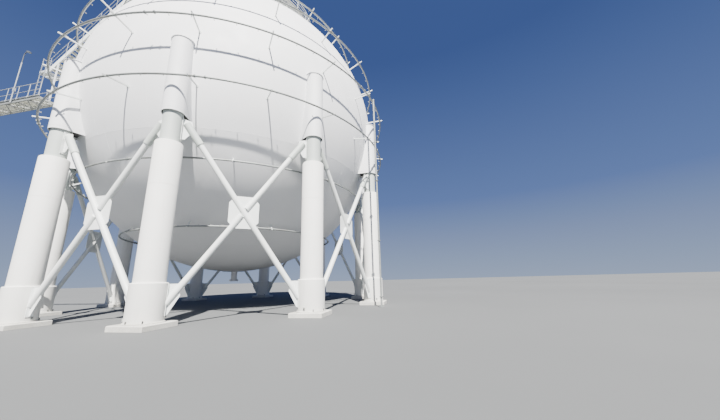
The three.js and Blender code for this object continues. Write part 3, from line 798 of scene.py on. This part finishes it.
def flange(shape, centre, radius, thick, bolts=0, bolt_circle=0.0, axis=(0, 0, 1)):
    """Round flange that grows from its centre along the axis, with bolts on its far face."""
    centre, axis = Vector(centre), Vector(axis)
    shape.tube([centre, centre + axis * thick], radius, 40)
    turn = axis.to_track_quat("Z", "Y").to_matrix()
    for b in range(bolts):
        shape.bolt(centre + turn @ polar(bolt_circle, 360 * b / bolts, thick), axis, 0.021, 0.03)


def top_nozzles():
    """Pad on the crown with the covered manway and three relief valves under vent stacks."""
    shape = Shape()
    crown = CENTRE_Z + SPHERE_R
    pad = [(r, CENTRE_Z + math.sqrt((SPHERE_R + 0.03) ** 2 - r * r)) for r in (1.25, 0.8, 0.4, 0)]
    shape.lathe([(0, crown - 0.14), (1.25, crown - 0.14), *pad], 64)
    cover = CENTRE_Z + 11.78
    shape.tube([(0, 0, crown - 0.05), (0, 0, cover)], 0.33, 40)
    flange(shape, (0, 0, cover - 0.06), 0.47, 0.055)
    flange(shape, (0, 0, cover), 0.47, 0.06, 24, 0.42)
    shape.tube([(0.36, -0.5, cover - 0.28), (0.36, -0.5, cover + 0.17)], 0.03, 12)
    joint = CENTRE_Z + 11.7
    for a in (90, 210, 330):
        x, y, _ = polar(0.85, a)
        shape.tube([(x, y, shell_z(x, y) - 0.05), (x, y, joint)], 0.11, 24)
        flange(shape, (x, y, joint - 0.04), 0.19, 0.035)
        flange(shape, (x, y, joint), 0.19, 0.035, 8, 0.155)
        for low, high, radius in ((0.02, 0.4, 0.14), (0.4, 0.52, 0.17), (0.5, 1.16, 0.09)):
            shape.tube([(x, y, joint + low), (x, y, joint + high)], radius, 24 if radius > 0.1 else 20)
        shape.look = 1
        shape.lathe([(0, 1.14), (0.11, 1.14), (0.13, 1.17), (0.05, 1.2), (0, 1.2)], 24,
                    Matrix.Translation((x, y, joint)))
        shape.look = 0
    piece("crown_nozzles", shape, [WHITE, ZINC], ["top_nozzles"])


def bottom_nozzles():
    """Pad under the shell with the outlet stub and its bolted flange."""
    shape = Shape()
    base = CENTRE_Z - SPHERE_R
    pad = [(r, CENTRE_Z - math.sqrt((SPHERE_R + 0.03) ** 2 - r * r)) for r in (0, 0.3, 0.6, 0.9)]
    shape.lathe([*pad, (0.9, base + 0.08), (0, base + 0.08)], 64)
    stub_r, joint = 0.23, CENTRE_Z - 11.94
    shape.tube([(0, 0, base + 0.05), (0, 0, joint + 0.02)], stub_r, 40)
    shape.lathe([(stub_r, base - 0.03), (0.3, base - 0.012), (0.3, base + 0.02), (stub_r, base + 0.02)], 40)
    flange(shape, (0, 0, joint), 0.34, 0.05, 16, 0.29)
    flange(shape, (0, 0, joint - 0.005), 0.34, 0.055, 16, 0.29, (0, 0, -1))
    piece("bottom_outlet", shape, [WHITE], ["bottom_nozzles"])


# Walkway


def grating_strip(shape, x0, x1, y0, y1, z, pitch=0.05):
    """Bearing bars along Y with cross rods along X."""
    count = round((x1 - x0) / pitch)
    for i in range(count + 1):
        x = x0 + (x1 - x0) * i / count
        shape.bar((x, y0, z - 0.015), (x, y1, z - 0.015), *GRATING_BAR)
    rods = max(2, round((y1 - y0) / 0.1))
    for i in range(rods + 1):
        y = y0 + (y1 - y0) * i / rods
        shape.bar((x0, y, z - 0.005), (x1, y, z - 0.005), *CROSS_ROD)


def walkway_deck():
    """Grating between two channels, cross and diagonal bracing under it, and a tie to the shell."""
    shape = Shape()
    side = 0.06
    near, far = WALK_Y0 + side, WALK_Y1 - side
    shape.look = 1
    grating_strip(shape, WALK_X0 + 0.02, WALK_X1 - 0.02, near, far, WALK_Z)
    web_z = WALK_Z - 0.075
    for y, way in ((near, -1), (far, 1)):
        # The channels take the dark pipe grey: painted shade under the deck's edge.
        shape.look = 2
        shape.channel((WALK_X0, y, web_z), (WALK_X1, y, web_z), 0.25, side, 0.012, (0, way, 0))
        shape.look = 0
        a, b = sorted((y, y + way * 0.006))
        shape.box((WALK_X0, a, WALK_Z), (WALK_X1, b, WALK_Z + KICK_H))
    bays = 10
    bay = (WALK_X1 - WALK_X0 - 0.08) / bays
    for i in range(bays + 1):
        x = WALK_X0 + 0.04 + bay * i
        shape.bar((x, near, WALK_Z - 0.09), (x, far, WALK_Z - 0.09), 0.06, 0.1)
        if i < bays:
            ends = (near + 0.02, far - 0.02)
            start, end = ends if i % 2 else ends[::-1]
            shape.bar((x, start, WALK_Z - 0.13), (x + bay, end, WALK_Z - 0.13), 0.05, 0.05)
    tie = Vector((-7.3, -6.3, WALK_Z - 0.12))
    shape.bar((WALK_X1 - 0.04, WALK_Y1 - 0.03, tie.z), tie, 0.12)
    shell_pad(shape, tie, 0.2)
    x = STAIR_POST[0]
    shape.box((x - 0.1, WALK_Y1 - 0.02, WALK_Z - 0.02), (x + 0.1, WALK_Y1 + 0.12, WALK_Z))
    for shift in (-0.07, 0.07):
        shape.prism([(0, WALK_Z - 0.12), (0, WALK_Z - 0.02), (0.11, WALK_Z - 0.02)], 0.012,
                    turned(90, (x + shift, WALK_Y1, 0)))
    piece("walkway_grating", shape, [ZINC, GRATING, PIPE], ["walkway_deck"])


def walkway_railings():
    """Handrail and one knee rail on posts with foot blocks, along each side of the walkway."""
    x0, x1 = WALK_X0 + 0.05, WALK_X1 - 0.05
    pipe, bays = 0.02, 10
    low, top = WALK_Z + 0.05, WALK_Z + RAIL_H - pipe
    for name, y in (("walkway_railing_near", WALK_Y0 + 0.03), ("walkway_railing_far", WALK_Y1 - 0.03)):
        shape = Shape()
        for z, size in ((top, pipe), (WALK_Z + 0.55, 0.016)):
            shape.tube([(x0, y, z), (x1, y, z)], size, 10)
        for i in range(bays + 1):
            x = x0 + (x1 - x0) * i / bays
            shape.tube([(x, y, low), (x, y, top)], pipe, 10)
            shape.block(x, y, 0.045, 0.028, low, low + 0.11)
        piece(name + "_pipes", shape, [RAIL], [name], 50)


def walkway_trestle():
    """Round post on a concrete pad, with a base plate, stiffeners and an I beam under the walkway."""
    shape = Shape()
    here = Matrix.Translation((TRESTLE_X, (WALK_Y0 + WALK_Y1) / 2, 0))
    shape.look = 1
    shape.slab((-0.5, -0.5, 0), (0.5, 0.5, 0.2), 0.025, here)
    shape.look = 0
    top = WALK_Z - 0.2
    post_r, plate_top, post_top = 0.19, 0.225, WALK_Z - 0.46
    shape.lathe([(0, 0.2), (0.3, 0.2), (0.3, plate_top), (post_r, 0.23), (post_r, post_top), (0, post_top)],
                40, here)
    for k in range(8):
        shape.bolt(here @ polar(0.25, 22.5 + 45 * k, plate_top), UP, 0.022, 0.05)
    for a in (45, 135, 225, 315):
        shape.prism([(0.18, plate_top), (0.29, plate_top), (0.2, 0.5), (0.18, 0.5)], 0.014, here @ turned(a))
    for low, high, half in ((0.25, 0.235, 0.1), (0.015, 0, 0.1), (0.24, 0.01, 0.006)):
        shape.block(0, 0, half, 0.6, top - low, top - high, here)
    for way in (-1, 1):
        shape.prism([(0.16, top - 0.25), (0.5, top - 0.25), (0.16, top - 0.7)], 0.014,
                    here @ turned(90 * way))
        shape.block(0, way * 0.57, 0.1, 0.006, top - 0.24, top - 0.01, here)
    piece("walkway_trestle_post", shape, [OFF_WHITE, CONCRETE], ["walkway_trestle"])


# Stair and landings


def landing_frame(shape, x0, x1, y0, y1, z):
    """Grating in a frame of flat bars, with a bearer under its middle."""
    shape.look = 1
    grating_strip(shape, x0 + 0.02, x1 - 0.02, y0 + 0.02, y1 - 0.02, z, 0.045)
    shape.look = 0
    for y in (y0 + 0.006, y1 - 0.006):
        shape.box((x0, y - 0.006, z - 0.12), (x1, y + 0.006, z + 0.003))
    for x in (x0 + 0.006, x1 - 0.006):
        shape.box((x - 0.006, y0 + 0.01, z - 0.12), (x + 0.006, y1 - 0.01, z + 0.003))
    shape.bar(((x0 + x1) / 2, y0 + 0.02, z - 0.07), ((x0 + x1) / 2, y1 - 0.02, z - 0.07), 0.05, 0.08)


def shell_pad(shape, foot, radius):
    """Round pad on the shell under the foot of a strut."""
    out = (Vector(foot) - CENTRE).normalized()
    shape.tube([CENTRE + out * (SPHERE_R - 0.01), CENTRE + out * (SPHERE_R + 0.02)], radius, 24)


def rail_run(shape, corners, lifts, pipe=0.019):
    """Pipes through the corner points at each height, with a post at every corner."""
    corners = [Vector(p) for p in corners]
    for number, lift in enumerate(lifts):
        shape.tube([p + UP * lift for p in corners], pipe if number == 0 else pipe - 0.003, 10)
    for p in corners:
        shape.tube([p - UP * 0.05, p + UP * lifts[0]], pipe, 10)


def stair_landing():
    """Landing at the walkway's far edge; two level beams tie it to the shell."""
    shape = Shape()
    x0, x1 = LANDING_X
    y0, y1 = LANDING_Y
    z = LANDING_Z
    landing_frame(shape, x0, x1, y0, y1, z)
    level = z - 0.2
    reach = math.sqrt(SPHERE_R ** 2 - (level - CENTRE_Z) ** 2)
    near, far = y0 + 0.005, y1 - 0.005
    for x in (x0 + 0.06, x1 - 0.06):
        for half, low, high in ((0.05, 0.135, 0.12), (0.006, 0.23, 0.125), (0.05, 0.24, 0.226)):
            shape.box((x - half, near, z - low), (x + half, far, z - high))
        start = Vector((x, NEAR_Y + 0.26, 0))
        foot = start.normalized() * (reach - 0.02)
        shape.bar((start.x, start.y, level), (foot.x, foot.y, level), 0.1)
        shell_pad(shape, (foot.x, foot.y, level), 0.17)
    rail_x, rail_y, pipe = (x0 + 0.06, x1 - 0.06), (y0 + 0.022, y1 - 0.022), 0.019
    corners = [(rail_x[0], rail_y[0], z), (rail_x[0], rail_y[1], z), (rail_x[1], rail_y[1], z)]
    rail_run(shape, corners, (RAIL_H - pipe, 0.54))
    post = Vector((rail_x[1], rail_y[0], z))
    shape.tube([post - UP * 0.05, post + UP * (RAIL_H - pipe)], pipe, 10)
    piece("stair_landing_frame", shape, [OFF_WHITE, GRATING], ["stair_landing"])


def access_ladder():
    """Ladder from the walkway deck to the open end of the landing."""
    shape = Shape()
    y = LANDING_Y[0] - 0.03
    for x in LADDER_X:
        shape.block(x, y, 0.006, 0.025, WALK_Z + 0.002, LANDING_Z + RAIL_H)
        shape.block(x, y, 0.022, 0.03, WALK_Z + 0.001, WALK_Z + 0.012)
        shape.tube([(x, y - 0.01, LANDING_Z - 0.06), (x, y + 0.03, LANDING_Z - 0.06)], 0.014, 8)
    rungs, pitch = 10, 0.3
    for i in range(rungs):
        z = WALK_Z + pitch * (i + 1)
        shape.tube([(x, y, z) for x in LADDER_X], 0.011, 10)
    piece("access_ladder_rungs", shape, [RAIL], ["access_ladder"])


STAIR_X0 = LANDING_X[1]
STAIR_X1 = TOP_LANDING_X[0]
STAIR_SLOPE = (TOP_LANDING_Z - LANDING_Z) / (STAIR_X1 - STAIR_X0)


def stair_z(x):
    """Height of the flight's pitch line."""
    return LANDING_Z + (x - STAIR_X0) * STAIR_SLOPE


def tread(shape, x0, x1, y0, y1, z):
    """Grating tread with a plate nosing."""
    shape.look = 1
    count = 6
    for i in range(count):
        x = x0 + 0.03 + (x1 - x0 - 0.04) * i / (count - 1)
        shape.bar((x, y0, z - 0.015), (x, y1, z - 0.015), *GRATING_BAR)
    for y in (y0 + 0.15, (y0 + y1) / 2, y1 - 0.15):
        shape.bar((x0 + 0.01, y, z - 0.006), (x1, y, z - 0.006), *CROSS_ROD)
    shape.look = 0
    shape.box((x0 - 0.005, y0, z - 0.035), (x0 + 0.03, y1, z))


def stair_flight():
    """Two deep plate stringers with treads between, struts to the shell and one tall post."""
    shape = Shape()
    half = STRINGER_H / 2 / math.cos(math.atan(STAIR_SLOPE))
    lips = ((-half, -half + 0.016, 0.03), (half - 0.016, half, 0.03))
    for y, way in ((NEAR_Y, -1), (FAR_Y, 1)):
        for low, high, wide in ((-half, half, 0.006), *lips):
            face = y + way * 0.02
            a, b = sorted((face, face - way * wide * 2))
            rows = []
            for x in (STAIR_X0 + 0.001, STAIR_X1 - 0.001):
                z = stair_z(x) - 0.02
                rows.append([(x, a, z + low), (x, b, z + low), (x, b, z + high), (x, a, z + high)])
            shape.skin(rows)
    going = (STAIR_X1 - STAIR_X0) / STAIR_RISERS
    rise = (TOP_LANDING_Z - LANDING_Z) / STAIR_RISERS
    for i in range(1, STAIR_RISERS):
        x = STAIR_X0 + going * (i - 0.5)
        tread(shape, x - going / 2, x + going / 2 + 0.02, NEAR_Y - 0.01, FAR_Y + 0.01, LANDING_Z + rise * i)
    for x in (-9.65, -5.75):
        z = stair_z(x) - 0.12
        foot = CENTRE + Vector((x, FAR_Y, z - CENTRE_Z)).normalized() * (SPHERE_R - 0.02)
        shape.bar((x, FAR_Y, z), foot, 0.1)
        shell_pad(shape, foot, 0.17)
    x, y = STAIR_POST
    shape.block(x, y + 0.001, 0.037, 0.036, WALK_Z + 0.002, stair_z(x) - 0.18)
    shape.block(x, y + 0.0175, 0.09, 0.0525, WALK_Z + 0.001, WALK_Z + 0.016)
    for side in (-0.065, 0.065):
        shape.bolt((x + side, y + 0.03, WALK_Z + 0.016), UP, 0.014, 0.02)
    piece("stair_flight_steel", shape, [TUBE_WHITE, GRATING], ["stair_flight"])


def stair_railings():
    x0, x1 = STAIR_X0 + 0.06, STAIR_X1 - 0.06
    bays = 6
    for name, y in (("stair_railing_near", NEAR_Y - 0.0403), ("stair_railing_far", FAR_Y + 0.0403)):
        shape = Shape()
        for lift, size in ((1.0, 0.017), (0.52, 0.014)):
            shape.tube([(x, y, stair_z(x) + lift) for x in (x0, x1)], size, 10)
        for i in range(bays + 1):
            x = x0 + 0.03 + (x1 - x0 - 0.06) * i / bays
            foot = Vector((x, y, stair_z(x)))
            shape.tube([foot - UP * 0.12, foot + UP * 0.99], 0.015, 10)
        piece(name + "_pipes", shape, [RAIL], [name], 50)


def stair_head_landing():
    """Landing at the head of the stair, on four posts that stand on the shell."""
    shape = Shape()
    x0, x1 = TOP_LANDING_X
    y0, y1 = TOP_LANDING_Y
    z = TOP_LANDING_Z
    landing_frame(shape, x0, x1, y0, y1, z)
    rail_x, rail_y = x1 - 0.022, y0 + 0.052
    rail_run(shape, [(x0 + 0.052, rail_y, z), (rail_x, rail_y, z), (rail_x, y1 - 0.082, z)], (1.06, 0.54))
    for x in (x0 + 0.1, x1 - 0.1):
        for y in (NEAR_Y, FAR_Y):
            foot = Vector((x, y, shell_z(x, y) - 0.03))
            shape.block(x, y, 0.045, 0.045, foot.z, z - 0.1)
            shell_pad(shape, foot, 0.15)
    for y in (NEAR_Y, FAR_Y):
        low = shell_z(x1 - 0.1, y) + 0.4
        shape.bar((x0 + 0.1, y, low), (x1 - 0.1, y, z - 0.2), 0.04, 0.05)
    piece("stair_head_frame", shape, [OFF_WHITE, GRATING], ["stair_head_landing"])


def platform_steps():
    """Short flight up to the round deck, with a level panel cut to the deck's edge."""
    shape = Shape()
    y0 = TOP_LANDING_Y[1]
    x0, x1 = STEPS_X
    run, rise = STEP_RISERS * STEP_GOING, DECK_Z - TOP_LANDING_Z
    last = y0 + (STEP_RISERS - 1) * STEP_GOING

    def line(y):
        return TOP_LANDING_Z + (y - y0) * rise / run

    def edge(x):
        return -math.sqrt(DECK_R ** 2 - x * x) - 0.004

    top, bottom = 0.085, 0.185
    for x in (x0, x1):
        end = edge(x - 0.01)
        low = min(DECK_Z - 0.2, line(end) - bottom)
        bend_y = y0 + (low + bottom - TOP_LANDING_Z) * run / rise
        shape.prism([(y0, TOP_LANDING_Z - bottom), (bend_y, low), (end, low), (end, DECK_Z - 0.002),
                     (y0 + (rise - top) * run / rise, DECK_Z - 0.002), (y0, TOP_LANDING_Z + top)],
                    0.012, turned(90, (x, 0, 0)))
        rails = [Vector((x, y, line(y))) for y in (y0 + 0.06, last - 0.06)]
        rail_run(shape, rails, (0.98, 0.52))
    shape.look = 1
    count = 18
    for i in range(1, count):
        x = x0 + (x1 - x0) * i / count
        shape.bar((x, last, DECK_Z - 0.017), (x, edge(x), DECK_Z - 0.017), *GRATING_BAR)
    shape.look = 0
    shape.box((x0, last - 0.005, DECK_Z - 0.06), (x1, last + 0.03, DECK_Z - 0.002))
    for i in range(6):
        a, b = (x0 + (x1 - x0) * k / 6 for k in (i, i + 1))
        shape.bar((a, edge(a) - 0.008, DECK_Z - 0.05), (b, edge(b) - 0.008, DECK_Z - 0.05), 0.01, 0.09)
    for i in range(1, STEP_RISERS):
        y = y0 + STEP_GOING * (i - 0.5)
        z = TOP_LANDING_Z + rise * i / STEP_RISERS
        shape.look = 1
        for k in range(6):
            bar_y = y - 0.11 + 0.25 * k / 5
            shape.bar((x0, bar_y, z - 0.015), (x1, bar_y, z - 0.015), *GRATING_BAR)
        shape.look = 0
        shape.box((x0, y - 0.14, z - 0.035), (x1, y - 0.11, z))
    piece("platform_steps_steel", shape, [OFF_WHITE, GRATING], ["platform_steps"])


def lamp_post(name, node_name, x, y, z0, z1, reach):
    """Tubular post with a bent arm and a floodlight on its end."""
    shape = Shape()
    way = 1 if reach > 0 else -1
    pipe, arm = 0.032, 0.028
    shape.tube([(x, y, z0), (x, y, z1 - 0.9)], pipe, 14)
    shape.tube([(x, y, z0), (x, y, z0 + 1.2)], pipe + 0.008, 14)
    shape.look = 2
    bend = [(0, 0.95), (0, 0.35), (way * 0.03, 0.18), (way * 0.12, 0.09), (reach * 0.9, 0.06)]
    shape.tube([(x + out, y, z1 - drop) for out, drop in bend], arm, 14)
    shape.look = 0
    shape.block(x, y + 0.01, 0.06, 0.06, z0 + 0.9, z0 + 1.15)
    tip = Matrix.Translation((x + reach, y, z1 - 0.11)) @ Matrix.Rotation(math.radians(18 * way), 4, "Y")
    shape.look = 2
    shape.slab((-0.12, -0.11, -0.04), (0.12, 0.11, 0.05), 0.03, tip)
    shape.look = 1
    shape.box((-0.1, -0.09, -0.052), (0.1, 0.09, -0.038), tip)
    piece(name, shape, [RAIL, LENS, HOUSING], [node_name], 45)


# Build


for zone in ZONES:
    shell_zone(*zone)
weld_seams()
for number in range(COLUMNS):
    column(number)
    column_details(number)
    brace(number)
for ring in RINGS:
    spray_ring(*ring)
spray_riser()
platform_deck()
platform_railing()
top_nozzles()
bottom_nozzles()
walkway_deck()
walkway_railings()
walkway_trestle()
stair_landing()
access_ladder()
stair_flight()
stair_railings()
stair_head_landing()
platform_steps()
lamp_post("walkway_lamp_post", "walkway_lamp", -12.5, WALK_Y0 - 0.04, WALK_Z - 0.18, 18.5, 0.42)
front, back = polar(5.6, 297), polar(5.6, 117)
lamp_post("platform_lamp_front_post", "platform_lamp_front", front.x, front.y, DECK_Z, DECK_Z + 2.6, -0.42)
lamp_post("platform_lamp_back_post", "platform_lamp_back", back.x, back.y, DECK_Z, DECK_Z + 2.6, 0.42)


# Floor, light and camera


def floor():
    """Plain pale ground that reaches the horizon."""
    half = 400
    mesh = bpy.data.meshes.new("floor")
    corners = [(-half, -half, 0), (half, -half, 0), (half, half, 0), (-half, half, 0)]
    mesh.from_pydata(corners, [], [(0, 1, 2, 3)])
    made, tree, shader = material("pale_floor", 0.95)
    tone = ramp(tree, noise(tree, 0.05, 4.0), [(0.3, (0.110, 0.115, 0.115)), (0.7, (0.127, 0.132, 0.132))])
    tree.links.new(tone, shader.inputs["Base Color"])
    mesh.materials.append(made)
    ground = show("floor", mesh)
    ground.location.z = -0.005


def lights():
    """One high sun and a plain blue backdrop that pales toward the horizon."""
    world = bpy.data.worlds.new("studio")
    world.use_nodes = True
    tree = world.node_tree
    coord = node(tree, "ShaderNodeTexCoord")
    split = node(tree, "ShaderNodeSeparateXYZ")
    tree.links.new(coord.outputs["Generated"], split.inputs[0])
    horizon, middle, top = (0.34, 0.43, 0.61), (0.13, 0.205, 0.47), (0.055, 0.10, 0.29)
    tone = ramp(tree, split.outputs["Z"], [(0.0, horizon), (0.25, middle), (0.65, top)])
    tree.links.new(tone, tree.nodes["Background"].inputs["Color"])
    bpy.context.scene.world = world
    key = bpy.data.lights.new("key", "SUN")
    key.energy = 19.0
    key.angle = math.radians(1)
    key.color = (1.0, 0.97, 0.93)
    toward = Vector((0.26, -0.587, 0.766))
    show("key", key).rotation_euler = toward.to_track_quat("Z", "Y").to_euler()


def camera():
    """The photograph's own viewing point, near the ground with a wide lens."""
    place = Vector((AXIS_X + 14.644, -21.103, 1.727))
    yaw, pitch, roll = (math.radians(a) for a in (11.26, 13.587, -1.474))
    data = bpy.data.cameras.new("camera")
    data.lens = 14.34
    data.sensor_width = 36.0
    data.sensor_fit = "HORIZONTAL"
    data.clip_end = 1000
    made = show("camera", data)
    turn = Matrix.Rotation(yaw, 4, "Z") @ Matrix.Rotation(math.pi / 2 + pitch, 4, "X")
    turn = turn @ Matrix.Rotation(roll, 4, "Z")
    made.matrix_world = Matrix.Translation(place) @ turn
    bpy.context.scene.camera = made


floor()
lights()
camera()
